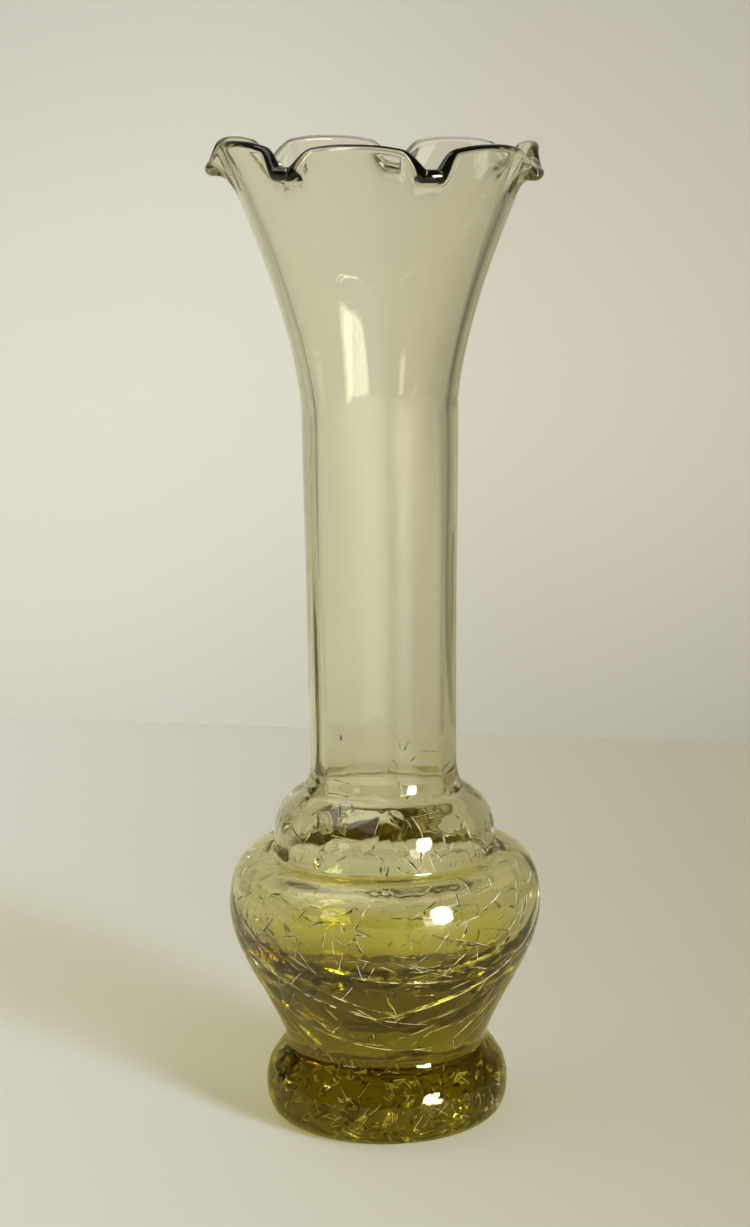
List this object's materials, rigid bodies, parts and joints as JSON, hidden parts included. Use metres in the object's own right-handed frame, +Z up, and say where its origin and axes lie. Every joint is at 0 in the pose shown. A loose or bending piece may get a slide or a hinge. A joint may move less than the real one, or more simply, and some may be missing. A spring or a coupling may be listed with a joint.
{
  "type": "bud vase",
  "caption": "Hand-blown olive crackle-glass bud vase with a solid cushion foot, round bulb, small collar, slim neck and a flared, crimped rim.",
  "frame": {"origin": "centre of the foot's resting face, on the table under the vase's axis", "axes": "+Z up along the vase's axis, -Y towards the front of the vase, +X to the right as seen from the front"},
  "size_m": [0.0667, 0.067, 0.2038],
  "materials": {
    "foot_glass": "solid olive glass, glossy outside, crazed with fine crackle",
    "crackled_glass": "olive glass, glossy, with healed crackle lines in the wall",
    "clear_glass": "pale olive glass, glossy and clear, fire-polished rim"
  },
  "bodies": {
    "root": {"foot": "foot_glass", "bulb": "crackled_glass", "collar": "crackled_glass", "neck": "clear_glass", "flared_mouth": "clear_glass", "crimped_rim": "clear_glass"}
  },
  "joints": []
}
